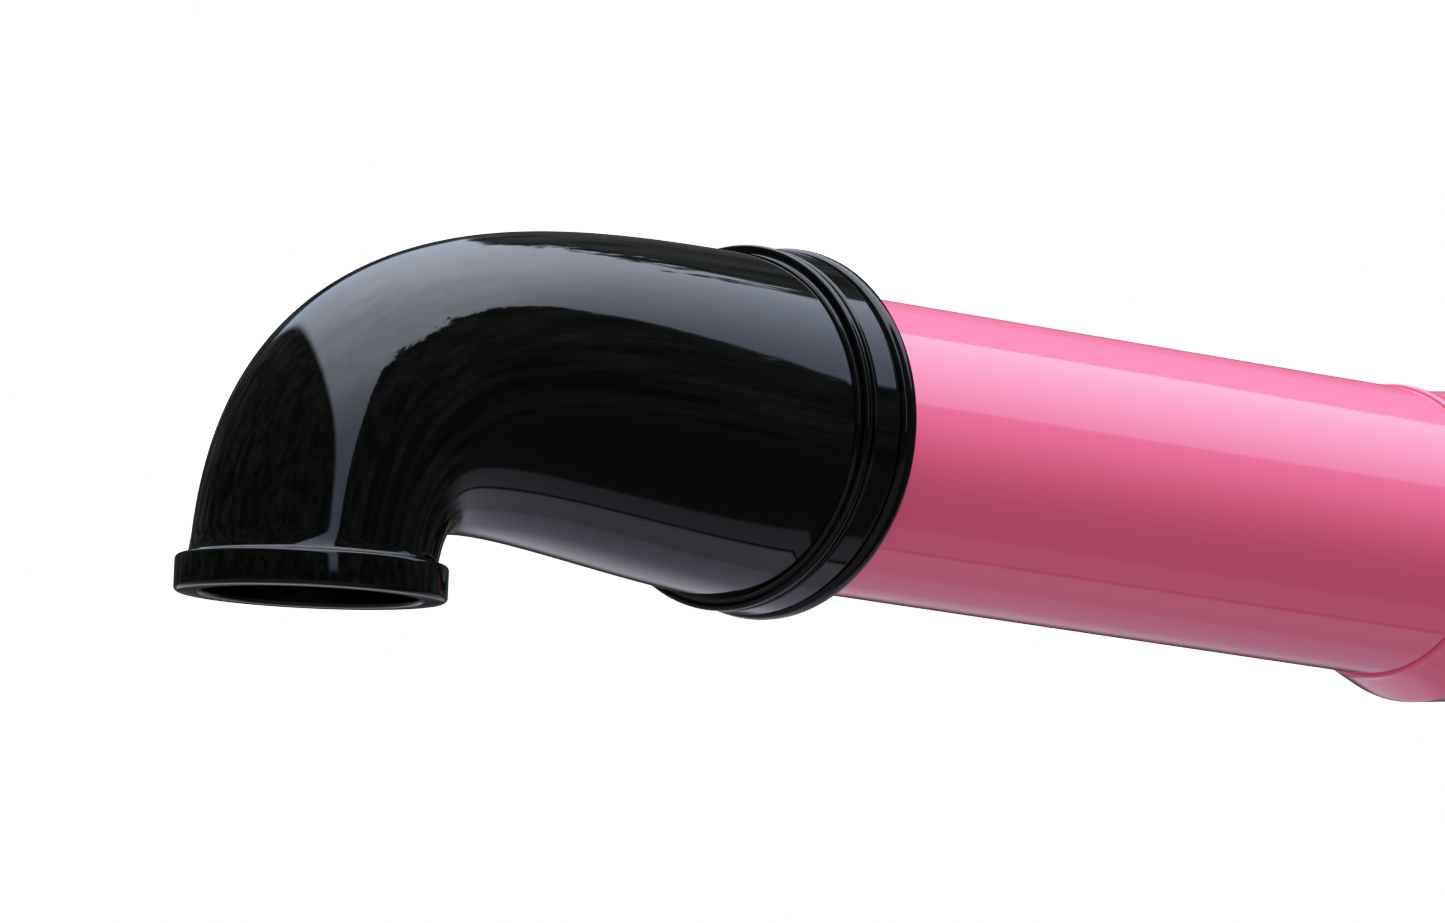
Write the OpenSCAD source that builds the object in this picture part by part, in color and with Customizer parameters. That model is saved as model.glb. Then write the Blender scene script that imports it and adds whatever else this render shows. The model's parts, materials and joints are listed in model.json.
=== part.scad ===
// Snorkel tube: a swivelling mouthpiece elbow, a straight tube, a contoured upper tube
// with a mask strap keeper, and a float valve under a vented cover.
// Millimetres. The origin is the centre of the mouthpiece port's face, the port opens
// towards -Z, and the straight tube runs along +X.

/* [Tube] */
// Outside diameter of the straight tube
tube_od = 25.4; // [25:0.1:25.8]
// Bore of the straight tube
tube_bore = 20.4; // [19:0.2:20.6]
// Length of straight tube between the elbow's ring and the upper tube
tube_exposed = 79.5; // [60:0.5:100]

/* [Elbow] */
// Distance from the port's axis to the open face of the retaining ring
elbow_reach = 56.5; // [54:0.5:60]
// Distance from the port's face up to the tube's axis
elbow_drop = 19.2; // [18.5:0.1:20]
// Outside radius of the elbow's body next to the ring
elbow_body_r = 14.6; // [14.5:0.1:15]
// Outside radius of the elbow's neck above the rim
elbow_neck_r = 10.1; // [10:0.1:10.4]
// Pull of the centreline along the tube's axis
tube_pull = 28; // [24:0.5:30]
// Pull of the centreline along the port's axis
port_pull = 25.3; // [22:0.5:27]
// Bore of the mouthpiece port
port_bore = 18; // [16:0.5:18.4]
// Outside radius of the rim that holds the mouthpiece
rim_r = 11.2; // [10.8:0.1:12]
// Height of the rim
rim_h = 3; // [2.6:0.1:3.4]

/* [Retaining ring] */
// Outside radius of the ring's bead
bead_r = 15.7; // [15.6:0.1:16.2]
// Outside radius of the ring's flat band
band_r = 15.4; // [15.2:0.1:15.5]
// Length of the ring
ring_len = 5.35; // [5.2:0.05:5.4]

/* [Upper tube] */
// Outside radius of the upper tube
upper_r = 13.7; // [13.5:0.1:14]
// Wall of the upper tube
upper_wall = 2.1; // [1.9:0.1:2.3]
// Upward tilt of the upper tube from the straight tube, in degrees
upper_tilt = 6; // [4:0.5:8]
// Length of the upper tube's straight stretch
upper_straight = 62; // [56:1:70]
// Centreline radius of the contoured stretch
contour_r = 330; // [250:10:500]
// Angle that the contoured stretch turns back through
contour_turn = 18; // [12:1:22]
// Length of the straight end inside the valve body
upper_end = 16; // [14:1:20]

/* [Keeper] */
// Distance from the start of the upper tube's straight stretch to the middle of the keeper
keeper_at = 38; // [32:1:40]
// Length of the keeper's sleeve
keeper_len = 24; // [20:1:26]
// Width of the keeper across the tube
keeper_w = 14; // [12:1:18]
// Height of the gap for the mask strap
strap_gap = 6.4; // [6:0.1:8]
// Length of the gap for the mask strap
strap_len = 24; // [22:1:26]

/* [Float valve] */
// Radius of the valve body's deck
deck_r = 19; // [18.5:0.5:20]
// Radius of the air inlet
inlet_r = 9; // [8:0.5:9.5]
// Outside radius of the cover
cover_r = 21; // [20.8:0.1:22]
// Length of the cover from the deck to the crown
cover_len = 44; // [42:1:50]
// Number of vent slots round the cover
vent_count = 14; // [10:1:16]
// Width of a vent slot
vent_w = 3.2; // [2.6:0.1:3.4]

/* [Hidden] */

$fn = 96;
cut = 0.5;             // how far a cutter runs past the face that it opens
black = [0.05, 0.05, 0.055];
pink = [0.9, 0.36, 0.58];

tube_r = tube_od / 2;
tube_in_r = tube_bore / 2;
port_r = port_bore / 2;

// Swivel between the elbow and the straight tube. s runs back into the elbow from the ring's
// open face.
run_gap = 0.06;        // radial clearance of a running fit
loose_gap = 0.25;      // clearance round the tube's flange
lip_len = 2.3;         // the ring's lip, which holds the flange in
spigot_r = 14.5;       // the elbow's end, which the ring is bonded over
flange_r = 13.5;
flange_from = lip_len + 0.15;
flange_to = 4.6;
recess_to = 4.75;      // end of the recess that the flange turns in
socket_depth = 14;     // how far the tube reaches into the elbow
own_bead_from = 5.55;  // the elbow's own bead, beside the ring
own_bead_to = 6.4;
own_bead_r = 15.45;
passage_body_r = 11.2; // airway inside the elbow, at its wide end
port_straight = 4;     // straight length of the port's bore
passage_step = 0.4;    // step in where the curved airway meets the port's bore

// O-rings
seal_r = 0.5;          // radius of an O-ring's section
swivel_seal_at = 9.5;  // distance back from the ring's open face
groove_w = 1.5;

// Joint between the straight tube and the upper tube. The mouth is the plane where the
// upper tube starts.
mouth_x = elbow_reach + tube_exposed;
mouth_r = 13;          // outside radius of the upper tube at its mouth
mouth_lip = 0.7;       // length of the thin edge at the mouth
flare_len = 4.5;       // length of the skewed flare behind the mouth
flare_drop = 1;        // how far the flare's axis falls towards the port's side
joint_r = 11.6;        // outside radius of the straight tube's spigot
joint_len = 18;
joint_gap = 0.05;
joint_seal_at = 9;
upper_in_r = upper_r - upper_wall;
contour_step = 0.1;    // how much thinner each side of the wall is along the contoured stretch

// Elbow sweep
sweep_sides = 40;
sweep_steps = 22;

// ---- placing ----

// Turns a shape built along +Z so that it lies along +X, with its own +X facing -Z.
module along_x() {
    rotate([0, 90, 0])
    children();
}

// Places a shape in the straight tube's own frame: along +X from the ring's open face.
module on_tube(x = 0) {
    translate([elbow_reach + x, 0, elbow_drop])
    along_x()
    children();
}

// Places a shape at the start of the upper tube's straight stretch, +X along its axis.
module on_upper() {
    translate([mouth_x + flare_len, 0, elbow_drop - flare_drop])
    rotate([0, -upper_tilt, 0])
    children();
}

// Places a shape at the outer end of the upper tube, +X along its axis.
module on_top() {
    on_upper()
    translate([upper_straight, 0, -contour_r])
    rotate([0, contour_turn, 0])
    translate([upper_end, 0, contour_r])
    children();
}

module on_keeper() {
    on_upper()
    translate([keeper_at, 0, 0])
    children();
}

// ---- repeated shapes ----

// Section of a band, from r_in out to r_out and from h0 up to h1, with rounded outer edges.
module band_section(r_in, r_out, h0, h1, fillet) {
    translate([r_in, h0])
    square([r_out - fillet - r_in, h1 - h0]);
    translate([r_in, h0 + fillet])
    square([r_out - r_in, h1 - h0 - 2 * fillet]);
    for (h = [h0 + fillet, h1 - fillet])
        translate([r_out - fillet, h])
        circle(r = fillet, $fn = 24);
}

module band_ring(r_in, r_out, h0, h1, fillet) {
    rotate_extrude()
    band_section(r_in, r_out, h0, h1, fillet);
}

module pipe(r_out, r_in, h0, h1) {
    difference() {
        translate([0, 0, h0])
        cylinder(r = r_out, h = h1 - h0);
        translate([0, 0, h0 - cut])
        cylinder(r = r_in, h = h1 - h0 + 2 * cut);
    }
}

module o_ring(r_mid, h) {
    translate([0, 0, h])
    rotate_extrude()
    translate([r_mid, 0])
    circle(r = seal_r, $fn = 24);
}

// ---- elbow ----

// The centreline is one cubic curve in the XZ plane, from the ring's open face (t = 0) to
// the port's face (t = 1).
function curve_points() = [
    [elbow_reach, elbow_drop],
    [elbow_reach - tube_pull, elbow_drop],
    [0, port_pull],
    [0, 0]
];
function curve_at(p, t) =
    pow(1 - t, 3) * p[0] + 3 * pow(1 - t, 2) * t * p[1]
    + 3 * (1 - t) * t * t * p[2] + pow(t, 3) * p[3];
function curve_heading(p, t) =
    3 * pow(1 - t, 2) * (p[1] - p[0]) + 6 * (1 - t) * t * (p[2] - p[1])
    + 3 * t * t * (p[3] - p[2]);
function ease(t) = t * t * (3 - 2 * t);

// One ring of the sweep, square to the centreline. Both radii ease from the body to the neck.
function sweep_ring(t, body_r, neck_r) =
    let (
        p = curve_points(),
        c = curve_at(p, t),
        d = curve_heading(p, t),
        n = [-d[1], d[0]] / norm(d),
        r = body_r + (neck_r - body_r) * ease(t)
    )
    [for (i = [0 : sweep_sides - 1])
        let (a = 360 * i / sweep_sides)
        [c[0] + r * cos(a) * n[0], r * sin(a), c[1] + r * cos(a) * n[1]]];

// A closed solid along the elbow's centreline, from t0 to t1.
module elbow_sweep(t0, t1, body_r, neck_r) {
    points = [for (k = [0 : sweep_steps])
        each sweep_ring(t0 + (t1 - t0) * k / sweep_steps, body_r, neck_r)];
    last = sweep_steps * sweep_sides;
    sides = [for (k = [0 : sweep_steps - 1], i = [0 : sweep_sides - 1])
        let (j = (i + 1) % sweep_sides, a = k * sweep_sides, b = a + sweep_sides)
        each [[a + i, b + j, b + i], [a + i, a + j, b + j]]];
    first_cap = [for (i = [sweep_sides - 1 : -1 : 0]) i];
    last_cap = [for (i = [0 : sweep_sides - 1]) last + i];
    polyhedron(points = points, faces = concat(sides, [first_cap, last_cap]));
}

module elbow() {
    color(black)
    difference() {
        union() {
            elbow_sweep(0.07, 0.985, elbow_body_r, elbow_neck_r);
            band_ring(0, rim_r, 0, rim_h, 0.4);
            on_tube() {
                translate([0, 0, -own_bead_from - 0.5])
                cylinder(r = spigot_r, h = own_bead_from + 0.5 - lip_len);
                band_ring(0, own_bead_r, -own_bead_to, -own_bead_from, 0.35);
            }
        }
        elbow_sweep(0.14, 0.96, passage_body_r, port_r - passage_step);
        translate([0, 0, -cut])
        cylinder(r = port_r, h = port_straight + cut);
        on_tube() {
            translate([0, 0, -socket_depth])
            cylinder(r = tube_r + run_gap, h = socket_depth);
            translate([0, 0, -recess_to])
            cylinder(r = flange_r + loose_gap, h = recess_to);
        }
    }
}

module retaining_ring() {
    color(black)
    on_tube()
    difference() {
        union() {
            band_ring(0, bead_r, -1.9, 0, 0.8);
            translate([0, 0, -2.4])
            cylinder(r = band_r - 0.25, h = 1);
            band_ring(0, band_r, -ring_len, -2.15, 0.2);
        }
        translate([0, 0, -ring_len - cut])
        cylinder(r = tube_r + run_gap, h = ring_len + 2 * cut);
        translate([0, 0, -ring_len - cut])
        cylinder(r = spigot_r, h = ring_len - lip_len + cut);
    }
}

// ---- straight tube ----

module lower_tube() {
    tube_from = -socket_depth + 0.3;
    color(pink)
    on_tube()
    difference() {
        union() {
            translate([0, 0, tube_from])
            cylinder(r = tube_r, h = tube_exposed - tube_from);
            translate([0, 0, -flange_to])
            cylinder(r = flange_r, h = flange_to - flange_from);
            translate([0, 0, tube_exposed - 1])
            cylinder(r = joint_r, h = joint_len + 1);
        }
        translate([0, 0, tube_from - cut])
        cylinder(r = tube_in_r, h = tube_exposed + joint_len - tube_from + 2 * cut);
        pipe(tube_r + cut, tube_r - 2 * seal_r,
             -swivel_seal_at - groove_w / 2, -swivel_seal_at + groove_w / 2);
        pipe(joint_r + cut, joint_r - 2 * seal_r,
             tube_exposed + joint_seal_at - groove_w / 2,
             tube_exposed + joint_seal_at + groove_w / 2);
    }
}

module swivel_seal() {
    color([0.1, 0.1, 0.1])
    on_tube()
    o_ring(tube_r - seal_r, -swivel_seal_at);
}

module joint_seal() {
    color([0.1, 0.1, 0.1])
    on_tube()
    o_ring(joint_r - seal_r, tube_exposed + joint_seal_at);
}

// ---- upper tube ----

// The contoured stretch as a solid of radius r, from the end of the straight stretch.
module contour_rod(r) {
    translate([upper_straight, 0, -contour_r])
    rotate([90, 0, 0])
    rotate([0, 0, 90 - contour_turn])
    rotate_extrude(angle = contour_turn, $fn = 360)
    translate([contour_r, 0])
    circle(r = r, $fn = 96);
}

// The whole upper tube as a solid: radius r on its straight stretches and contour_rod_r
// between them, from start to overrun past its end.
module upper_rod(r, contour_rod_r, start, overrun) {
    on_upper() {
        translate([start, 0, 0])
        along_x()
        cylinder(r = r, h = upper_straight - start);
        contour_rod(contour_rod_r);
    }
    on_top()
    translate([-upper_end, 0, 0])
    along_x()
    cylinder(r = r, h = upper_end + overrun);
}

module upper_tube() {
    slice = 0.05;      // thickness of the discs that the flare is drawn between
    inset = 0.3;       // how far those discs lie inside the solids that they join
    shy = 0.15;        // how much smaller those discs are, so that each solid keeps its edge
    color(pink)
    difference() {
        union() {
            on_tube(tube_exposed)
            cylinder(r = mouth_r, h = mouth_lip);
            hull() {
                on_tube(tube_exposed + mouth_lip - inset)
                cylinder(r = mouth_r - shy, h = slice, $fn = 48);
                on_upper()
                translate([inset, 0, 0])
                along_x()
                cylinder(r = upper_r - shy, h = slice, $fn = 48);
            }
            upper_rod(upper_r, upper_r - contour_step, 0, 0);
        }
        on_tube(tube_exposed - cut)
        cylinder(r = joint_r + joint_gap, h = joint_len + 0.3 + cut);
        upper_rod(upper_in_r, upper_in_r + contour_step, joint_len - flare_len, cut);
    }
}

// ---- keeper ----

pad_len = strap_len + 8;
pad_h = 3;
pad_z = -(upper_r + pad_h + 0.6);
pin_r = 1.1;
eye_r = 2.4;
gate_t = 2.4;
gate_z = pad_z - strap_gap - gate_t;
hinge_x = -pad_len / 2 - eye_r - 0.3;
hinge_z = pad_z - 1.2;
ear_w = 3;
ear_gap = 0.3;

module keeper_sleeve() {
    color(black)
    on_keeper()
    difference() {
        union() {
            along_x()
            band_ring(0, upper_r + 2.3, -keeper_len / 2, keeper_len / 2, 0.8);
            translate([-pad_len / 2, -keeper_w / 2, pad_z])
            cube([pad_len, keeper_w, pad_h + 3]);
            for (y = [-keeper_w / 2, keeper_w / 2 - ear_w])
                translate([0, y, 0])
                keeper_ear();
        }
        translate([-pad_len / 2 - cut, 0, 0])
        along_x()
        cylinder(r = upper_r + run_gap, h = pad_len + 2 * cut);
        gate_pin_rod(pin_r, keeper_w + 2 * cut);
    }
}

module keeper_ear() {
    translate([hinge_x, 0, hinge_z])
    rotate([-90, 0, 0])
    cylinder(r = eye_r, h = ear_w);
    translate([hinge_x, 0, hinge_z])
    cube([-pad_len / 2 - hinge_x + 1, ear_w, eye_r]);
}

module gate_pin_rod(r, length) {
    translate([hinge_x, -length / 2, hinge_z])
    rotate([-90, 0, 0])
    cylinder(r = r, h = length);
}

module gate_pin() {
    color("silver")
    on_keeper()
    gate_pin_rod(pin_r, keeper_w);
}

module strap_gate() {
    eye_w = keeper_w - 2 * ear_w - 2 * ear_gap;
    post_from = hinge_x - eye_r;
    color(black)
    on_keeper()
    difference() {
        union() {
            translate([hinge_x, -eye_w / 2, hinge_z])
            rotate([-90, 0, 0])
            cylinder(r = eye_r, h = eye_w);
            translate([post_from, -eye_w / 2, gate_z])
            cube([2 * eye_r, eye_w, hinge_z - gate_z]);
            translate([post_from, -keeper_w / 2, gate_z])
            cube([pad_len / 2 - post_from + 2.4, keeper_w, gate_t]);
            translate([pad_len / 2 + 0.3, -eye_w / 2, gate_z])
            cube([2.1, eye_w, pad_z - gate_z + 1]);
        }
        gate_pin_rod(pin_r + run_gap, keeper_w + 2 * cut);
    }
}

// ---- float valve ----

collar_len = 14;       // how far the valve body reaches back over the upper tube
collar_r = 16.2;
deck_t = 2.4;
seat_h = 3.4;          // height of the seat above the deck's back face
arm_pivot = [9.2, 0, 14.6];  // float arm's pivot in the top's own frame
lug_w = 2.6;
lug_in = 3.4;          // half the gap between the lugs
float_pin_r = 1;

module collar_seal() {
    color([0.1, 0.1, 0.1])
    on_top()
    along_x()
    o_ring(upper_r + seal_r, -collar_len / 2);
}

module valve_body() {
    color(black)
    on_top()
    difference() {
        union() {
            along_x() {
                band_ring(0, collar_r, -collar_len, deck_t, 0.8);
                band_ring(0, deck_r, 0, deck_t, 0.4);
            }
            for (y = [-lug_in - lug_w, lug_in])
                translate([0, y, 0])
                float_lug();
        }
        along_x() {
            translate([0, 0, -collar_len - cut])
            cylinder(r = upper_r, h = collar_len + cut);
            pipe(upper_r + 2 * seal_r, upper_r - cut,
                 -collar_len / 2 - groove_w / 2, -collar_len / 2 + groove_w / 2);
            translate([0, 0, -cut])
            cylinder(r = inlet_r + 1, h = deck_t + 2 * cut);
        }
        float_pin_rod(float_pin_r, 2 * (lug_in + lug_w) + 2 * cut);
        for (a = [90, 270])
            rotate([a, 0, 0])
            translate([deck_t / 2, 0, deck_r - 4])
            cylinder(r = 0.9, h = 5, $fn = 24);
    }
}

module float_lug() {
    translate([arm_pivot[0], 0, arm_pivot[2]])
    rotate([-90, 0, 0])
    cylinder(r = 2.4, h = lug_w, $fn = 48);
    translate([deck_t - 0.4, 0, arm_pivot[2] - 2.4])
    cube([arm_pivot[0] - deck_t + 0.4, lug_w, 4.8]);
}

module float_pin_rod(r, length) {
    translate([arm_pivot[0], -length / 2, arm_pivot[2]])
    rotate([-90, 0, 0])
    cylinder(r = r, h = length, $fn = 48);
}

module float_pin() {
    color("silver")
    on_top()
    float_pin_rod(float_pin_r, 2 * (lug_in + lug_w));
}

// Soft ring lining the inlet, with a raised lip for the disc to close on.
module seat_ring() {
    color([0.85, 0.86, 0.88])
    on_top()
    along_x()
    difference() {
        union() {
            cylinder(r = inlet_r + 1, h = deck_t);
            band_ring(0, inlet_r + 2, deck_t, seat_h, 0.4);
        }
        translate([0, 0, -cut])
        cylinder(r = inlet_r, h = seat_h + 2 * cut);
    }
}

disc_r = inlet_r + 2.4;
disc_t = 1.4;
disc_x = seat_h + 0.1;     // back face of the disc, closed on the seat
arm_t = 2;
arm_x = disc_x + disc_t;   // back face of the arm

module float_arm() {
    eye_w = 2 * lug_in - 0.6;
    color([0.15, 0.15, 0.16])
    on_top()
    difference() {
        union() {
            translate([arm_pivot[0], -eye_w / 2, arm_pivot[2]])
            rotate([-90, 0, 0])
            cylinder(r = 2.2, h = eye_w, $fn = 48);
            translate([arm_x, -eye_w / 2, -2])
            cube([arm_t, eye_w, arm_pivot[2] + 2]);
            translate([arm_x, -eye_w / 2, arm_pivot[2] - 2.2])
            cube([arm_pivot[0] - arm_x, eye_w, 3.2]);
            translate([arm_x, 0, 0])
            along_x()
            cylinder(r = 7, h = arm_t);
        }
        float_pin_rod(float_pin_r + run_gap, eye_w + 2 * cut);
        translate([arm_x - cut, 0, 0])
        along_x()
        cylinder(r = 1.5, h = arm_t + 2 * cut, $fn = 32);
    }
}

module seal_disc() {
    color([0.85, 0.86, 0.88])
    on_top()
    translate([disc_x, 0, 0])
    along_x()
    difference() {
        cylinder(r = disc_r, h = disc_t);
        translate([0, 0, -cut])
        cylinder(r = 1.5, h = disc_t + 2 * cut, $fn = 32);
    }
}

// Button that fastens the disc to the arm.
module seal_button() {
    color([0.85, 0.86, 0.88])
    on_top()
    translate([disc_x, 0, 0])
    along_x() {
        translate([0, 0, -0.8])
        cylinder(r = 3, h = 0.8, $fn = 48);
        translate([0, 0, -0.4])
        cylinder(r = 1.5, h = disc_t + arm_t + 0.4, $fn = 32);
    }
}

float_len = 20;
float_r = 14;
float_top = 5;         // the float is cut away above here, round the pivot
float_foot = -10;      // and below here, to clear the cover when it swings open

module float() {
    color([0.93, 0.55, 0.2])
    on_top()
    difference() {
        translate([arm_x + arm_t, 0, 0])
        along_x()
        band_ring(0, float_r, 0, float_len, 2);
        for (z = [float_top, float_foot - float_r])
            translate([arm_x, -float_r - cut, z])
            cube([float_len + 2 * arm_t, 2 * float_r + 2 * cut, float_r]);
        translate([arm_x + arm_t - cut, 0, 0])
        along_x()
        cylinder(r = 3, h = 1.5 + cut, $fn = 48);
    }
}

// ---- cover ----

cover_wall = 1.7;
crown_r = 9;           // rounding of the crown's edge

module cover_section(r, length, round_r) {
    square([r, length - round_r]);
    square([r - round_r, length]);
    translate([r - round_r, length - round_r])
    circle(r = round_r, $fn = 96);
}

module cover() {
    color(black)
    on_top()
    difference() {
        along_x() {
            difference() {
                rotate_extrude()
                cover_section(cover_r, cover_len, crown_r);
                translate([0, 0, -cut])
                rotate_extrude()
                cover_section(cover_r - cover_wall, cover_len - cover_wall + cut,
                              crown_r - cover_wall);
                for (i = [0 : vent_count - 1])
                    rotate([0, 0, 360 * (i + 0.5) / vent_count])
                    vent_slot();
            }
            pipe(cover_r - 0.5, deck_r, 0, deck_t);
        }
        for (a = [90, 270])
            rotate([a, 0, 0])
            translate([deck_t / 2, 0, deck_r - cut])
            cylinder(r = 0.9, h = 4, $fn = 24);
    }
}

module vent_slot() {
    slot_from = 6;
    slot_to = 18;
    for (h = [slot_from, slot_to])
        translate([cover_r - 4, 0, h])
        rotate([0, 90, 0])
        cylinder(r = vent_w / 2, h = 6, $fn = 32);
    translate([cover_r - 4, -vent_w / 2, slot_from])
    cube([6, vent_w, slot_to - slot_from]);
}

module cover_screws() {
    color("silver")
    on_top()
    for (a = [90, 270])
        rotate([a, 0, 0])
        translate([deck_t / 2, 0, 0]) {
            translate([0, 0, deck_r - 4])
            cylinder(r = 0.9, h = cover_r - deck_r + 4, $fn = 24);
            translate([0, 0, cover_r])
            cylinder(r = 1.7, h = 0.8, $fn = 32);
        }
}

module safety_band() {
    color([0.85, 0.87, 0.9])
    on_top()
    along_x()
    band_ring(cover_r, cover_r + 0.6, 23, 31, 0.2);
}

// ---- nodes ----

elbow();
retaining_ring();
swivel_seal();
lower_tube();
joint_seal();
upper_tube();
keeper_sleeve();
gate_pin();
strap_gate();
collar_seal();
valve_body();
seat_ring();
float_pin();
float_arm();
seal_disc();
seal_button();
float();
cover();
cover_screws();
safety_band();
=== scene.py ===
import json
import math

import bmesh
import bpy
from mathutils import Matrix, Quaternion, Vector


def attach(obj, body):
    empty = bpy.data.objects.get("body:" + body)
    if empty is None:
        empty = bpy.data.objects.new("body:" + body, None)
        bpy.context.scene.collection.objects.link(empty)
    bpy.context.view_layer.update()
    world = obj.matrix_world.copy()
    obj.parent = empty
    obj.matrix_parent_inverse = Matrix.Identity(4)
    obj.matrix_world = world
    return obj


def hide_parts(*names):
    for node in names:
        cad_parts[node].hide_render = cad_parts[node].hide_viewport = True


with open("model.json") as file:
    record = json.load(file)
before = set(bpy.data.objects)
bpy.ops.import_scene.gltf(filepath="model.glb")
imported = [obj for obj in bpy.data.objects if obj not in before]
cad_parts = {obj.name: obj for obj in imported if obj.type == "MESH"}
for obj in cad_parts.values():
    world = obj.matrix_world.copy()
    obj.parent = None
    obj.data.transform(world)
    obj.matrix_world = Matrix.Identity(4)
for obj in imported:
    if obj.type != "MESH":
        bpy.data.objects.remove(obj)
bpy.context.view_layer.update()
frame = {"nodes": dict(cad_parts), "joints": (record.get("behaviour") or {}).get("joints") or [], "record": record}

# ---- driving sizes, in metres, as in the CAD model ----

MM = 0.001

# elbow
BODY_R = 14.6 * MM            # at its wide end
NECK_R = 10.1 * MM            # above the rim
TUBE_PULL = 28 * MM           # the centreline's handle at the wide end
PORT_PULL = 25.3 * MM         # and at the port
PASSAGE_R = 11.2 * MM         # airway, at the socket
PASSAGE_STEP = 0.4 * MM       # the airway's narrowing past the port's straight bore
PORT_STRAIGHT = 4 * MM
RIM_H = 3 * MM
SPIGOT_R = 14.5 * MM
SOCKET_DEPTH = 14 * MM
RECESS_R = 13.75 * MM         # recess for the tube's flange
RECESS_TO = 4.75 * MM
OWN_BEAD_FROM = 5.55 * MM
OWN_BEAD_TO = 6.4 * MM
OWN_BEAD_R = 15.45 * MM

# retaining ring
LIP_LEN = 2.3 * MM
RING_LEN = 5.35 * MM
BEAD_R = 15.7 * MM
BEAD_LEN = 1.9 * MM
BAND_R = 15.4 * MM
BAND_FROM = 2.25 * MM
GROOVE_DEPTH = 0.35 * MM

# lower tube
TUBE_R = 12.7 * MM
TUBE_IN_R = 10.2 * MM
TUBE_EXPOSED = 79.5 * MM
TUBE_END_GAP = 0.3 * MM       # between the tube's end and the socket's floor
FLANGE_R = 13.5 * MM
FLANGE_FROM = 2.45 * MM
FLANGE_TO = 4.6 * MM
JOINT_R = 11.6 * MM
JOINT_LEN = 18 * MM

# upper tube
MOUTH_R = 13 * MM
MOUTH_LIP = 0.7 * MM
FLARE_LEN = 4.5 * MM
FLARE_DROP = 1 * MM
UPPER_R = 13.7 * MM
UPPER_IN_R = 11.6 * MM
UPPER_STRAIGHT = 62 * MM
UPPER_END = 16 * MM
UPPER_TILT = math.radians(6)
CONTOUR_R = 330 * MM
CONTOUR_TURN = math.radians(18)

# fits between pieces
RUN_GAP = 0.06 * MM
PUSH_GAP = 0.05 * MM
SPIGOT_GAP = 0.03 * MM
FACE_GAP = 0.02 * MM
JOINT_END_GAP = 0.3 * MM      # between the lower tube's end and the upper tube's shoulder

mounts = {m["name"]: m for m in frame["record"]["mounts"]}
joints = {j["name"]: j for j in frame["joints"]}
PORT_R = mounts["mouthpiece_port"]["dims"]["r_mm"] * MM
RIM_R = mounts["mouthpiece_rim"]["dims"]["r_mm"] * MM
SWIVEL = Vector(joints["elbow_swivel"]["pos_m"])      # centre of the ring's open face
REACH, DROP = SWIVEL.x, SWIVEL.z

ACROSS = Vector((0, 1, 0))
OUTWARD = Vector((1, 0, 0))       # along the straight tube, away from the elbow
INWARD = Vector((-1, 0, 0))       # from the ring's open face into the elbow
DOWN = Vector((0, 0, -1))
SIDES = 144                       # points round every circle
MERGE = 1e-6                      # metres within which points are one
FILLET_STEPS = 5


# ---- mesh building ----

def circle(centre, along, radius):
    """Points of a circle square to along, which lies in the XZ plane."""
    side = Vector((-along.z, 0, along.x)).normalized()
    points = []
    for i in range(SIDES):
        a = 2 * math.pi * i / SIDES
        points.append(centre + radius * (math.cos(a) * side + math.sin(a) * ACROSS))
    return points


def loft(name, rings):
    """A closed mesh through rings of points. The last ring joins the first."""
    mesh = bpy.data.meshes.new(name)
    faces = []
    for k in range(len(rings)):
        a = k * SIDES
        b = (k + 1) % len(rings) * SIDES
        for i in range(SIDES):
            j = (i + 1) % SIDES
            faces.append((a + i, b + i, b + j, a + j))
    mesh.from_pydata([p for r in rings for p in r], [], faces)
    tidy(mesh)
    obj = bpy.data.objects.new(name, mesh)
    bpy.context.scene.collection.objects.link(obj)
    return obj


def tidy(mesh):
    """Merges points that meet, turns the faces outwards and shades them smooth."""
    bm = bmesh.new()
    bm.from_mesh(mesh)
    bmesh.ops.remove_doubles(bm, verts=bm.verts, dist=MERGE)
    bmesh.ops.recalc_face_normals(bm, faces=bm.faces)
    bm.to_mesh(mesh)
    bm.free()
    for p in mesh.polygons:
        p.use_smooth = True


def arc(centre, radius, start, end, steps=FILLET_STEPS):
    """Points (x, y) of an arc, angles in degrees."""
    points = []
    for k in range(steps + 1):
        a = math.radians(start + (end - start) * k / steps)
        points.append((centre[0] + radius * math.cos(a), centre[1] + radius * math.sin(a)))
    return points


def rounded(corners):
    """A closed outline through corners (h, r, fillet), each rounded by an arc with a point close by
    on either side."""
    outline = []
    count = len(corners)
    for i, (h, r, fillet) in enumerate(corners):
        here = Vector((h, r))
        before = Vector(corners[i - 1][:2]) - here
        after = Vector(corners[(i + 1) % count][:2]) - here
        u, v = before.normalized(), after.normalized()
        half = u.angle(v) / 2
        reach = fillet / math.tan(half)
        room = max(min(before.length, after.length) - reach, MERGE / 10)
        support = min(fillet / 4, 0.4 * room)
        centre = here + (u + v).normalized() * (fillet / math.sin(half))
        start, end = here + u * reach - centre, here + v * reach - centre
        outline.append(here + u * (reach + support))
        turn = start.angle_signed(end)
        for k in range(FILLET_STEPS + 1):
            a = -turn * k / FILLET_STEPS
            c, s = math.cos(a), math.sin(a)
            outline.append(centre + Vector((c * start.x - s * start.y, s * start.x + c * start.y)))
        outline.append(here + v * (reach + support))
    return outline


def turned(name, origin, along, corners):
    """A closed ring of revolution about the line through origin, with corners (distance along,
    radius, fillet)."""
    rings = [circle(origin + along * p.x, along, p.y) for p in rounded(corners)]
    return loft(name, rings)


# ---- elbow ----

# centreline, a cubic curve from the ring's open face (t = 0) to the port (t = 1)
CURVE = [Vector((REACH, 0, DROP)), Vector((REACH - TUBE_PULL, 0, DROP)),
         Vector((0, 0, PORT_PULL)), Vector((0, 0, 0))]


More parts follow.
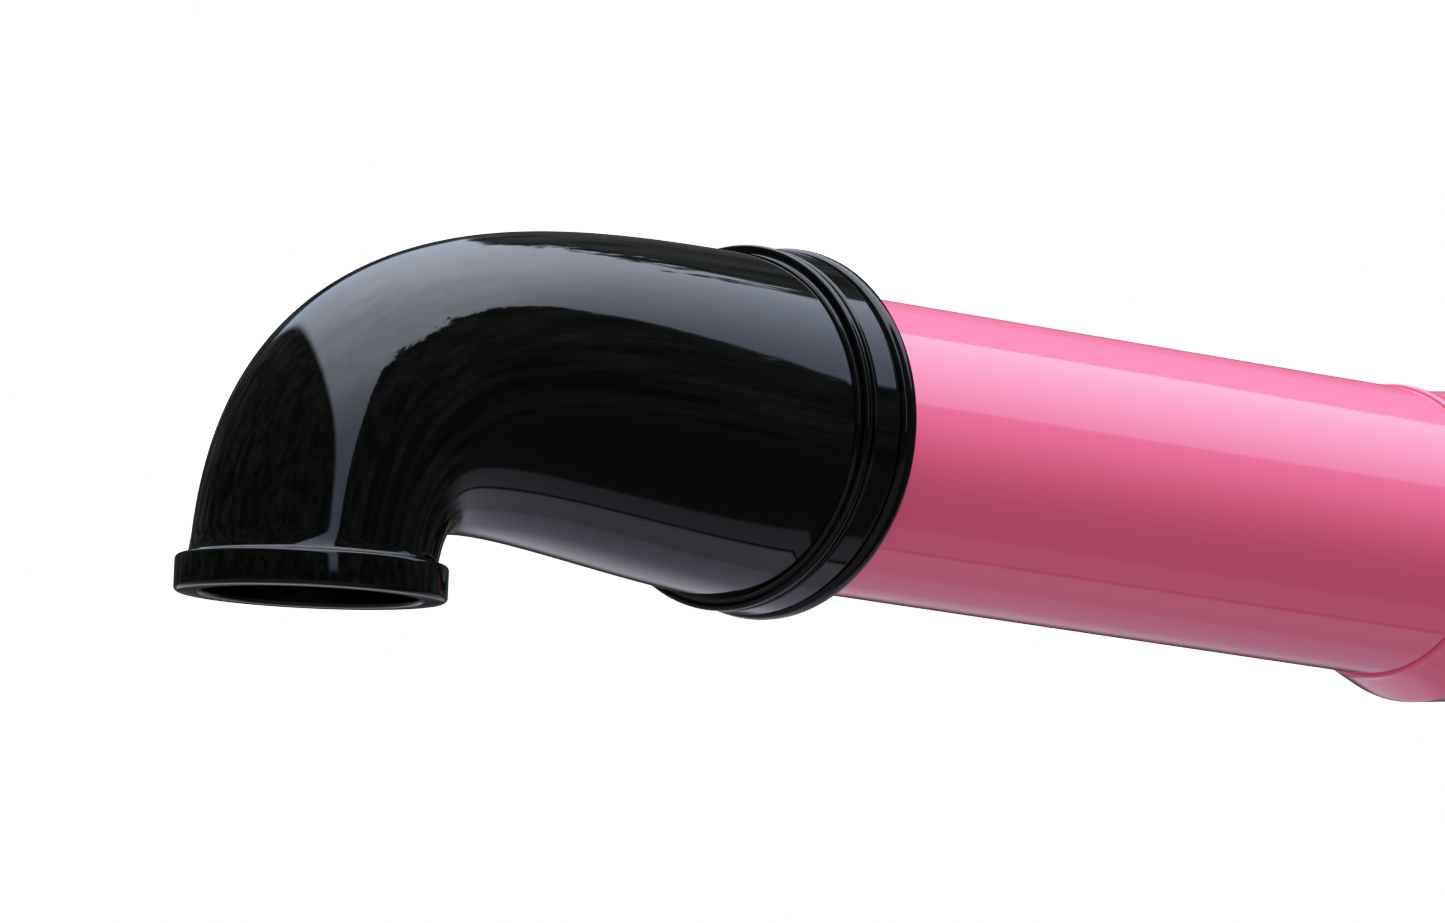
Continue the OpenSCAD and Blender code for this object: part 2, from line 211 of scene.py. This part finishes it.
def curve_at(t):
    a, b, c, d = CURVE
    return (1 - t) ** 3 * a + 3 * (1 - t) ** 2 * t * b + 3 * (1 - t) * t * t * c + t ** 3 * d


def curve_heading(t):
    a, b, c, d = CURVE
    return (3 * (1 - t) ** 2 * (b - a) + 6 * (1 - t) * t * (c - b) + 3 * t * t * (d - c)).normalized()


def ease(t):
    return t * t * (3 - 2 * t)


def swept(t, wide, narrow):
    """Circle about the centreline at t, on the way from the radius wide to the radius narrow."""
    return circle(curve_at(t), curve_heading(t), wide + (narrow - wide) * ease(t))


def at_collar(s, r):
    """Circle square to the straight tube, s past the ring's open face."""
    return circle(SWIVEL + INWARD * s, INWARD, r)


def at_port(z, r):
    """Circle square to the port, at the height z."""
    return circle(Vector((0, 0, z)), DOWN, r)


T_BODY = 0.078           # where the body rises out of its bead's fillet
T_NECK = 0.948           # where the neck meets the rim
T_SOCKET = 0.19          # the ends of the curved airway
T_PORT = 0.925
OUTER_STEPS = 110
AIRWAY_STEPS = 60


def bead_outline():
    """(distance, radius) along the spigot under the retaining ring and over the elbow's own bead."""
    edge, root = 0.4 * MM, 0.35 * MM
    spigot_r = SPIGOT_R - SPIGOT_GAP
    body_r = BODY_R + (NECK_R - BODY_R) * ease(T_BODY)
    outline = [(LIP_LEN + FACE_GAP, spigot_r), (OWN_BEAD_FROM - 0.1 * MM, spigot_r)]
    outline += arc((OWN_BEAD_FROM + edge, OWN_BEAD_R - edge), edge, 180, 90, 6)
    outline += arc((OWN_BEAD_TO - edge, OWN_BEAD_R - edge), edge, 90, 0, 6)
    outline += arc((OWN_BEAD_TO + root, body_r + root), root, 180, 270)
    return outline


def rim_outline():
    """(radius, height) from the neck over the rim and into the port's bore."""
    root, edge, mouth, close = 0.3 * MM, 0.4 * MM, 0.35 * MM, 0.1 * MM
    outline = [(NECK_R + 0.02 * MM, RIM_H + root), (NECK_R + root, RIM_H), (RIM_R - edge - close, RIM_H)]
    outline += arc((RIM_R - edge, RIM_H - edge), edge, 90, 0, 6)
    outline += [(RIM_R, RIM_H / 2)]
    outline += arc((RIM_R - edge, edge), edge, 0, -90, 6)
    outline += [(PORT_R + mouth + close, 0)]
    outline += arc((PORT_R + mouth, mouth), mouth, 270, 180, 7)
    outline += [(PORT_R, PORT_STRAIGHT - 2 * close), (PORT_R - close / 2, PORT_STRAIGHT),
                (PORT_R - 3 * close, PORT_STRAIGHT + close)]
    return outline


def socket_outline():
    """(distance, radius) from the airway's end over the socket and the recess to the ring."""
    close = 0.1 * MM
    socket_r = TUBE_R + RUN_GAP
    return [(SOCKET_DEPTH + 2 * close, PASSAGE_R), (SOCKET_DEPTH, PASSAGE_R + 2 * close),
            (SOCKET_DEPTH, socket_r - close), (SOCKET_DEPTH - close, socket_r),
            (RECESS_TO, socket_r), (RECESS_TO, RECESS_R), (LIP_LEN + FACE_GAP, RECESS_R)]


def make_elbow():
    """One closed skin: over the outside from the ring to the port, and back through the airway."""
    rings = [at_collar(s, r) for s, r in bead_outline()]
    for k in range(1, OUTER_STEPS + 1):
        rings.append(swept(T_BODY + (T_NECK - T_BODY) * k / OUTER_STEPS, BODY_R, NECK_R))
    rings += [at_port(z, r) for r, z in rim_outline()]
    for k in range(AIRWAY_STEPS + 1):
        t = T_PORT + (T_SOCKET - T_PORT) * k / AIRWAY_STEPS
        rings.append(swept(t, PASSAGE_R, PORT_R - PASSAGE_STEP))
    rings += [at_collar(s, r) for s, r in socket_outline()]
    return loft("elbow_shell", rings)


def make_ring():
    bore_r = TUBE_R + RUN_GAP
    lip_end = LIP_LEN - FACE_GAP
    corners = [
        (0, bore_r, 0.15 * MM), (0, BEAD_R, 0.8 * MM), (BEAD_LEN, BEAD_R, 0.75 * MM),
        (BEAD_LEN, BAND_R - GROOVE_DEPTH, 0.1 * MM), (BAND_FROM, BAND_R - GROOVE_DEPTH, 0.1 * MM),
        (BAND_FROM, BAND_R, 0.3 * MM), (RING_LEN, BAND_R, 0.35 * MM),
        (RING_LEN, SPIGOT_R, 0.05 * MM), (lip_end, SPIGOT_R, 0.05 * MM), (lip_end, bore_r, 0.1 * MM)]
    return turned("retaining_ring_body", SWIVEL, INWARD, corners)


# ---- tubes ----

def make_lower_tube():
    start = TUBE_END_GAP - SOCKET_DEPTH
    end = TUBE_EXPOSED + JOINT_LEN
    corners = [
        (start, TUBE_IN_R, 0.5 * MM), (start, TUBE_R, 0.5 * MM),
        (-FLANGE_TO, TUBE_R, 0.1 * MM), (-FLANGE_TO, FLANGE_R, 0.2 * MM),
        (-FLANGE_FROM, FLANGE_R, 0.2 * MM), (-FLANGE_FROM, TUBE_R, 0.1 * MM),
        (TUBE_EXPOSED, TUBE_R, 0.35 * MM), (TUBE_EXPOSED, JOINT_R, 0.1 * MM),
        (end, JOINT_R, 0.4 * MM), (end, TUBE_IN_R, 0.4 * MM)]
    return turned("lower_tube_body", SWIVEL, OUTWARD, corners)


MOUTH = SWIVEL + OUTWARD * TUBE_EXPOSED
UPPER_START = SWIVEL + Vector((TUBE_EXPOSED + FLARE_LEN, 0, -FLARE_DROP))
CONTOUR_LEN = CONTOUR_R * CONTOUR_TURN
UPPER_TOTAL = UPPER_STRAIGHT + CONTOUR_LEN + UPPER_END


def tilted(angle):
    """Direction in the XZ plane, angle above +X."""
    return Vector((math.cos(angle), 0, math.sin(angle)))


def upper_path(s):
    """(centre, heading) at distance s along the upper tube's centreline."""
    along = tilted(UPPER_TILT)
    if s <= UPPER_STRAIGHT:
        return UPPER_START + along * s, along
    centre = UPPER_START + along * UPPER_STRAIGHT + CONTOUR_R * Vector((along.z, 0, -along.x))
    turn = min(s - UPPER_STRAIGHT, CONTOUR_LEN) / CONTOUR_R
    heading = tilted(UPPER_TILT - turn)
    point = centre + CONTOUR_R * Vector((-heading.z, 0, heading.x))
    return point + heading * max(0, s - UPPER_STRAIGHT - CONTOUR_LEN), heading


def make_upper_tube():
    """One closed skin: from the mouth over the outside to the far end, and back along the bore."""
    lip = 0.3 * MM
    flare_steps, straight_steps, contour_steps = 8, 12, 24
    outline = [(0, JOINT_R + PUSH_GAP)]
    outline += arc((lip, MOUTH_R - lip), lip, 180, 90)
    outline += [(MOUTH_LIP, MOUTH_R)]
    rings = [circle(MOUTH + OUTWARD * x, OUTWARD, r) for x, r in outline]
    # skewed flare into the tilted stretch
    flare_start = MOUTH + OUTWARD * MOUTH_LIP
    for k in range(1, flare_steps):
        f = k / flare_steps
        radius = MOUTH_R + (UPPER_R - MOUTH_R) * f
        rings.append(circle(flare_start.lerp(UPPER_START, f), tilted(UPPER_TILT * f), radius))
    stations = [0, 0.4 * MM]
    stations += [UPPER_STRAIGHT * k / straight_steps for k in range(1, straight_steps + 1)]
    stations += [UPPER_STRAIGHT + CONTOUR_LEN * k / contour_steps for k in range(1, contour_steps + 1)]
    stations += [UPPER_TOTAL - UPPER_END / 2, UPPER_TOTAL]
    for s in stations:
        centre, heading = upper_path(s)
        rings.append(circle(centre, heading, UPPER_R))
    # bore, down to the joint's shoulder
    past_joint = stations[4:]
    for s in reversed(past_joint):
        centre, heading = upper_path(s)
        rings.append(circle(centre, heading, UPPER_IN_R))
    shoulder = MOUTH + OUTWARD * (JOINT_LEN + JOINT_END_GAP)
    rings.append(circle(shoulder, OUTWARD, UPPER_IN_R))
    rings.append(circle(shoulder, OUTWARD, JOINT_R + PUSH_GAP))
    return loft("upper_tube_body", rings)


# ---- materials ----

class Graph:
    """Short ways to add nodes to one node tree."""

    def __init__(self, tree):
        self.nodes, self.links = tree.nodes, tree.links

    def add(self, kind, **inputs):
        """A new node with the named inputs set. An underscore stands for a space."""
        node = self.nodes.new(kind)
        for name, value in inputs.items():
            self.set(node.inputs[name.replace("_", " ")], value)
        return node

    def set(self, socket, value):
        """Links the socket to value if that is a socket, or else sets it."""
        if isinstance(value, bpy.types.NodeSocket):
            self.links.new(value, socket)
        else:
            socket.default_value = value

    def math(self, operation, *values):
        node = self.nodes.new("ShaderNodeMath")
        node.operation = operation
        for socket, value in zip(node.inputs, values):
            self.set(socket, value)
        return node.outputs[0]

    def ramp(self, value, low, high):
        """0 below low, 1 above high and smooth between. low may be the larger of the two."""
        node = self.nodes.new("ShaderNodeMapRange")
        node.interpolation_type = "SMOOTHSTEP"
        self.set(node.inputs["Value"], value)
        node.inputs["From Min"].default_value = min(low, high)
        node.inputs["From Max"].default_value = max(low, high)
        node.inputs["To Min"].default_value = int(low > high)
        node.inputs["To Max"].default_value = int(low <= high)
        return node.outputs["Result"]

    def product(self, first, second):
        return self.math("MULTIPLY", first, second)

    def sum(self, first, second):
        return self.math("ADD", first, second)

    def noise(self, vector, scale, detail=3, roughness=0.5):
        node = self.add("ShaderNodeTexNoise", Vector=vector, Scale=scale, Detail=detail, Roughness=roughness)
        return node.outputs["Fac"]

    def mix(self, factor, first, second):
        """Blend of two colours."""
        node = self.nodes.new("ShaderNodeMix")
        node.data_type = "RGBA"
        for index, value in ((0, factor), (6, first), (7, second)):
            self.set(node.inputs[index], (*value, 1) if isinstance(value, tuple) else value)
        return node.outputs[2]


def new_material(name):
    """(material, its graph, its shader, the place on the object that textures are laid out by)"""
    mat = bpy.data.materials.new(name)
    mat.use_nodes = True
    graph = Graph(mat.node_tree)
    place = graph.add("ShaderNodeTexCoord").outputs["Object"]
    return mat, graph, mat.node_tree.nodes["Principled BSDF"], place


def stretched(graph, place, along):
    """The place with its X scaled by along, so that a texture draws out lengthwise."""
    node = graph.add("ShaderNodeVectorMath", Vector=place)
    node.operation = "MULTIPLY"
    node.inputs[1].default_value = (along, 1, 1)
    return node.outputs[0]


def relief(graph, bsdf, height, depth, strength=1):
    """Bumps depth metres deep."""
    bump = graph.add("ShaderNodeBump", Strength=strength, Distance=depth, Height=height)
    graph.set(bsdf.inputs["Normal"], bump.outputs["Normal"])


def gloss_plastic(name, color, dark, roughness, ior):
    """A polished moulding: faint waviness, smudges from handling and sparse hairline scratches."""
    mat, graph, bsdf, place = new_material(name)
    graph.set(bsdf.inputs["Base Color"], graph.mix(graph.noise(place, 60, 3), color, dark))
    smudge = graph.ramp(graph.noise(place, 45, 6, 0.68), 0.5, 0.72)
    hairline = graph.ramp(graph.noise(stretched(graph, place, 0.06), 2600, 2), 0.66, 0.74)
    grain = graph.noise(place, 900, 4)
    rough = graph.sum(roughness, graph.product(smudge, 0.035))
    rough = graph.sum(rough, graph.product(hairline, 0.09))
    graph.set(bsdf.inputs["Roughness"], graph.sum(rough, graph.product(grain, 0.03)))
    ripple = graph.sum(graph.noise(place, 55, 2), graph.product(hairline, -0.02))
    relief(graph, bsdf, ripple, 0.035 * MM)
    bsdf.inputs["IOR"].default_value = ior
    return mat


def moulded(name, color, dark, roughness, bump):
    """A satin or soft moulding: mottled colour, fine spark-eroded grain and a few handling marks."""
    mat, graph, bsdf, place = new_material(name)
    graph.set(bsdf.inputs["Base Color"], graph.mix(graph.noise(place, 90, 4), color, dark))
    grain = graph.noise(place, 2600, 2)
    marks = graph.ramp(graph.noise(place, 260, 6, 0.7), 0.62, 0.74)
    rough = graph.sum(roughness, graph.product(grain, 0.12))
    graph.set(bsdf.inputs["Roughness"], graph.sum(rough, graph.product(marks, -0.1)))
    relief(graph, bsdf, grain, 0.04 * MM, bump)
    return mat


def metal(name):
    """Stainless steel, drawn along its length."""
    mat, graph, bsdf, place = new_material(name)
    lines = graph.noise(stretched(graph, place, 16), 330, 3)
    tone = graph.mix(graph.noise(place, 300, 3), (0.63, 0.63, 0.64), (0.5, 0.5, 0.51))
    graph.set(bsdf.inputs["Base Color"], tone)
    bsdf.inputs["Metallic"].default_value = 1
    graph.set(bsdf.inputs["Roughness"], graph.sum(0.16, graph.product(lines, 0.22)))
    relief(graph, bsdf, lines, 0.03 * MM, 0.25)
    return mat


def film(name):
    """Silver reflective film: small prisms under a clear face."""
    mat, graph, bsdf, place = new_material(name)
    cells = graph.add("ShaderNodeTexVoronoi", Vector=place, Scale=2400)
    cells.feature = "DISTANCE_TO_EDGE"
    edge = graph.ramp(cells.outputs["Distance"], 0.02, 0.12)
    tone = graph.mix(graph.noise(place, 1500, 2), (0.5, 0.52, 0.54), (0.36, 0.375, 0.395))
    graph.set(bsdf.inputs["Base Color"], graph.mix(edge, (0.3, 0.31, 0.325), tone))
    graph.set(bsdf.inputs["Roughness"], graph.sum(0.5, graph.product(edge, -0.22)))
    bsdf.inputs["Coat Weight"].default_value = 0.6
    bsdf.inputs["Coat Roughness"].default_value = 0.12
    relief(graph, bsdf, edge, 0.06 * MM, 0.5)
    return mat


def foam(name):
    """Closed cell foam: a skin of small cells, with painted shade darkening the deeper parts of each cell."""
    mat, graph, bsdf, place = new_material(name)
    cells = graph.add("ShaderNodeTexVoronoi", Vector=place, Scale=1300)
    depth = cells.outputs["Distance"]
    # painted shade: the colour turns darker where the cells run deep, as in a hollow
    tone = graph.mix(graph.ramp(depth, 0.2, 0.8), (0.85, 0.33, 0.06), (0.62, 0.2, 0.03))
    graph.set(bsdf.inputs["Base Color"], tone)
    graph.set(bsdf.inputs["Roughness"], graph.sum(0.62, graph.product(depth, 0.2)))
    relief(graph, bsdf, graph.math("SUBTRACT", 1, depth), 0.12 * MM, 0.6)
    return mat


def silicone(name):
    """Soft, slightly translucent moulding."""
    mat = moulded(name, (0.78, 0.8, 0.82), (0.7, 0.73, 0.75), 0.3, 0.12)
    inputs = mat.node_tree.nodes["Principled BSDF"].inputs
    inputs["Subsurface Weight"].default_value = 0.4
    inputs["Subsurface Radius"].default_value = (2 * MM, 2 * MM, 2 * MM)
    return mat


FINISHES = {
    "black_gloss": gloss_plastic("black_gloss_plastic", (0.0012, 0.0012, 0.0013),
                                 (0.002, 0.002, 0.0021), 0.025, 1.5),
    "pink_gloss": gloss_plastic("pink_gloss_plastic", (0.85, 0.125, 0.247),
                                (0.82, 0.119, 0.235), 0.03, 1.58),
    "black_satin": moulded("black_satin_plastic", (0.018, 0.018, 0.02), (0.03, 0.03, 0.032), 0.34, 0.35),
    "seal_rubber": moulded("seal_rubber", (0.014, 0.014, 0.014), (0.022, 0.022, 0.021), 0.5, 0.2),
    "pale_silicone": silicone("pale_silicone"),
    "float_foam": foam("float_foam"),
    "steel": metal("stainless_steel"),
    "reflective": film("reflective_film")}


# ---- pieces ----

bodies = frame["record"]["behaviour"]["bodies"]
body_of = {node: body for body, nodes in bodies.items() for node in nodes}
slot_of = {part["node"]: part["material_slot"] for part in frame["record"]["subparts"]}
for node, slot in slot_of.items():
    for material_slot in frame["nodes"][node].material_slots:
        material_slot.material = FINISHES[slot]


def finish_piece(piece, node):
    """Gives a new piece the finish, body and slot of the CAD node that it stands in for."""
    piece.data.materials.append(FINISHES[slot_of[node]])
    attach(piece, body_of[node])
    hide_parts(node)


MESH_MERGE = 2e-6                   # metres
FLAT = math.radians(0.6)            # faces that meet at less are one
EDGE_ANGLE = math.radians(38)       # faces that meet at more have an edge to round


def softened(node, width):
    """A new piece in the shape of a CAD node, with its edges rounded over."""
    mesh = frame["nodes"][node].data.copy()
    mesh.name = node + "_piece"
    mesh.materials.clear()
    bm = bmesh.new()
    bm.from_mesh(mesh)
    bmesh.ops.remove_doubles(bm, verts=bm.verts, dist=MESH_MERGE)
    bmesh.ops.dissolve_limit(bm, angle_limit=FLAT, verts=bm.verts, edges=bm.edges)
    bm.to_mesh(mesh)
    bm.free()
    mesh.shade_smooth()
    piece = bpy.data.objects.new(node + "_piece", mesh)
    bpy.context.scene.collection.objects.link(piece)
    bevel = piece.modifiers.new("edges", "BEVEL")
    bevel.width = width
    bevel.segments = 3
    bevel.limit_method = "ANGLE"
    bevel.angle_limit = EDGE_ANGLE
    bevel.miter_outer = "MITER_ARC"
    bevel.harden_normals = True
    return piece


# width of each piece's rounded edges, in millimetres
EDGES = {"keeper_sleeve": 0.45, "strap_gate": 0.4, "valve_body": 0.3, "cover": 0.28, "float": 0.7,
         "float_arm": 0.25, "seat_ring": 0.18, "seal_disc": 0.25, "seal_button": 0.15,
         "cover_screws": 0.14, "gate_pin": 0.15, "float_pin": 0.12}
for node, width in EDGES.items():
    finish_piece(softened(node, width * MM), node)

finish_piece(make_elbow(), "elbow")
finish_piece(make_ring(), "retaining_ring")
finish_piece(make_lower_tube(), "lower_tube")
finish_piece(make_upper_tube(), "upper_tube")


# ---- camera, floor and light ----

def make_camera():
    """A long lens view of the elbow, from beside and slightly below, rolled a little."""
    azimuth, elevation, roll = math.radians(48.16), math.radians(-5.69), math.radians(2.57)
    distance = 1.345
    aim = SWIVEL + Vector((-2.9, 3.7, -2.4)) * MM
    level = math.cos(elevation)
    ahead = Vector((math.sin(azimuth) * level, math.cos(azimuth) * level, -math.sin(elevation)))
    cam = bpy.data.objects.new("camera", bpy.data.cameras.new("camera"))
    bpy.context.scene.collection.objects.link(cam)
    cam.data.sensor_width = 36
    cam.data.lens = 398.6
    cam.data.clip_start, cam.data.clip_end = 0.05, 50
    cam.location = aim - ahead * distance
    cam.rotation_mode = "QUATERNION"
    cam.rotation_quaternion = ahead.to_track_quat("-Z", "Y") @ Quaternion((0, 0, 1), roll)
    bpy.context.scene.camera = cam


# surroundings: azimuths from +X towards +Y and elevations, in degrees; radiances, linear RGB
LOW_SKY, LOW_SKY_AT = (0.8, 1.0, 1.38), 20
HIGH_SKY, HIGH_SKY_AT = (3.1, 3.3, 3.75), 75
CLOUD, CLOUD_SHARE = (1.5, 1.6, 1.85), 0.3
DIM_SKY, DIM_SHARE = (0.6, 0.72, 0.95), 0.2
DEEP_SHADE = (0.02, 0.023, 0.022)
PALE_SHADE = (0.13, 0.14, 0.14)
RAGGED = 26                   # how far tree lines wander
BACK = 360                    # added to azimuths behind, so that they run on past 180
FILL = 0.37                   # radiance of the even fill
WHITE = 2                     # radiance that shows as plain white


def mass(graph, around, up, middle, half_width, height, power):
    """Mask of a dark mass on the horizon: a rounded outline about the azimuth middle."""
    soft = 0.04
    offset = graph.math("ABSOLUTE", graph.math("SUBTRACT", around, middle))
    side = graph.math("POWER", graph.math("DIVIDE", offset, half_width), power)
    rise = graph.math("POWER", graph.math("DIVIDE", graph.math("MAXIMUM", up, 0), height), power)
    return graph.ramp(graph.sum(side, rise), 1 + soft, 1 - soft)


def sky_color(graph, toward, around, up):
    """Clouded sky, brighter overhead and dimmer to one side."""
    sky = graph.mix(graph.ramp(up, LOW_SKY_AT, HIGH_SKY_AT), LOW_SKY, HIGH_SKY)
    cloud = graph.ramp(graph.noise(toward, 4, 6, 0.65), 0.35, 0.65)
    sky = graph.mix(graph.product(cloud, CLOUD_SHARE), sky, CLOUD)
    dim = graph.product(graph.ramp(around, 10, -40), graph.ramp(up, 60, 45))
    return graph.mix(graph.product(dim, DIM_SHARE), sky, DIM_SKY)


def ground_color(graph, around):
    """Dark ground near the masses, a kerb, and paler ground past it, brightest far off."""
    near = graph.mix(graph.ramp(around, -21, -18), (0.05, 0.05, 0.055), (0.22, 0.215, 0.26))
    far = graph.mix(graph.ramp(around, 2, 19), (0.4, 0.39, 0.46), (0.3, 0.29, 0.36))
    far = graph.mix(graph.ramp(around, 19, 21), far, (0.38, 0.36, 0.47))
    far = graph.mix(graph.ramp(around, 33, 43), far, (0.68, 0.66, 0.76))
    ground = graph.mix(graph.ramp(around, -1.5, 0), near, far)
    kerb = graph.product(graph.ramp(around, -4, -3), graph.ramp(around, -1, -2))
    ground = graph.mix(kerb, ground, (0.05, 0.04, 0.045))
    behind = graph.ramp(graph.math("ABSOLUTE", around), 60, 90)
    return graph.mix(behind, ground, (0.2, 0.2, 0.22))


def skyline(graph, toward, around, up):
    """Masks of what stands dark against the sky."""
    wander = graph.math("SUBTRACT", graph.noise(toward, 8, 8, 0.72), 0.5)
    up_rough = graph.sum(up, graph.product(wander, RAGGED))
    from_front = graph.sum(around, graph.product(graph.math("LESS_THAN", around, -60), BACK))
    house = mass(graph, from_front, up, 149.5, 88.5, 65, 2.2)
    grove = mass(graph, around, up_rough, -77, 38, 60, 5)
    trees = mass(graph, around, up_rough, 22, 23, 44, 4)
    land_top = graph.sum(21, graph.product(graph.ramp(around, -35, -20), 9))
    land = graph.product(graph.ramp(graph.math("SUBTRACT", up, land_top), 1, -1),
                         graph.product(graph.ramp(around, -52, -46), graph.ramp(around, 44, 40)))
    hedge = graph.product(graph.ramp(around, 38, 46), graph.ramp(around, 85, 68))
    hedge_top = graph.sum(4, graph.product(hedge, 22))
    low = graph.ramp(graph.math("SUBTRACT", up, hedge_top), 2, -2)
    return house, grove, trees, land, low


def make_world():
    """Open sky over dark masses and grey ground, as the gloss shows them, and plain white behind."""
    world = bpy.data.worlds.new("surroundings")
    bpy.context.scene.world = world
    world.use_nodes = True
    world.node_tree.nodes.clear()
    graph = Graph(world.node_tree)
    toward = graph.add("ShaderNodeTexCoord").outputs["Generated"]
    axes = graph.add("ShaderNodeSeparateXYZ", Vector=toward).outputs
    degrees = 180 / math.pi
    around = graph.product(graph.math("ARCTAN2", axes[1], axes[0]), degrees)
    up = graph.product(graph.math("ARCSINE", axes[2]), degrees)
    color = sky_color(graph, toward, around, up)
    shade = graph.mix(graph.ramp(graph.noise(toward, 9, 4, 0.6), 0.35, 0.8), DEEP_SHADE, PALE_SHADE)
    for mask in skyline(graph, toward, around, up):
        color = graph.mix(mask, color, shade)
    color = graph.mix(graph.ramp(up, -5, -16), color, ground_color(graph, around))
    # dull surfaces get an even fill besides
    path = graph.add("ShaderNodeLightPath").outputs
    filled = graph.add("ShaderNodeVectorMath", Vector=color)
    graph.set(filled.inputs[1], graph.product(path["Is Diffuse Ray"], FILL))
    surroundings = graph.add("ShaderNodeBackground", Color=filled.outputs[0], Strength=1)
    white = graph.add("ShaderNodeBackground", Color=(1, 1, 1, 1), Strength=WHITE)
    seen = graph.add("ShaderNodeMixShader")
    graph.set(seen.inputs[0], path["Is Camera Ray"])
    graph.set(seen.inputs[1], surroundings.outputs[0])
    graph.set(seen.inputs[2], white.outputs[0])
    graph.add("ShaderNodeOutputWorld", Surface=seen.outputs[0])


def make_floor():
    """A plain pale floor well below, left out of the reflections."""
    mesh = bpy.data.meshes.new("floor")
    half, level = 6, -0.3
    corners = [(-half, -half, level), (half, -half, level), (half, half, level), (-half, half, level)]
    mesh.from_pydata(corners, [], [(0, 1, 2, 3)])
    floor = bpy.data.objects.new("floor", mesh)
    bpy.context.scene.collection.objects.link(floor)
    mat = bpy.data.materials.new("pale_floor")
    mat.use_nodes = True
    inputs = mat.node_tree.nodes["Principled BSDF"].inputs
    inputs["Base Color"].default_value = (0.86, 0.86, 0.86, 1)
    inputs["Roughness"].default_value = 0.8
    mesh.materials.append(mat)
    floor.visible_glossy = False
    floor.visible_diffuse = False


def make_softbox():
    """A large soft light overhead, left out of the reflections."""
    light = bpy.data.lights.new("softbox", "AREA")
    light.shape = "SQUARE"
    light.size = 1.6
    light.energy = 86
    light.color = (1, 0.975, 0.93)
    softbox = bpy.data.objects.new("softbox", light)
    bpy.context.scene.collection.objects.link(softbox)
    softbox.location = (0.15, -0.6, 1.85)
    softbox.rotation_euler = (math.radians(-18), 0, 0)
    softbox.visible_glossy = False


def make_film():
    """Plain colours up to a soft shoulder, above which they pale."""
    view = bpy.context.scene.view_settings
    view.view_transform = "Standard"
    view.use_curve_mapping = True
    view.curve_mapping.white_level = (WHITE, WHITE, WHITE)
    shoulder = view.curve_mapping.curves[3]
    for seen, shown in ((0.1, 0.1), (0.4, 0.4), (0.7, 0.635), (1, 0.79), (1.5, 0.94)):
        shoulder.points.new(seen / WHITE, shown)
    view.curve_mapping.update()


make_camera()
make_floor()
make_softbox()
make_world()
make_film()
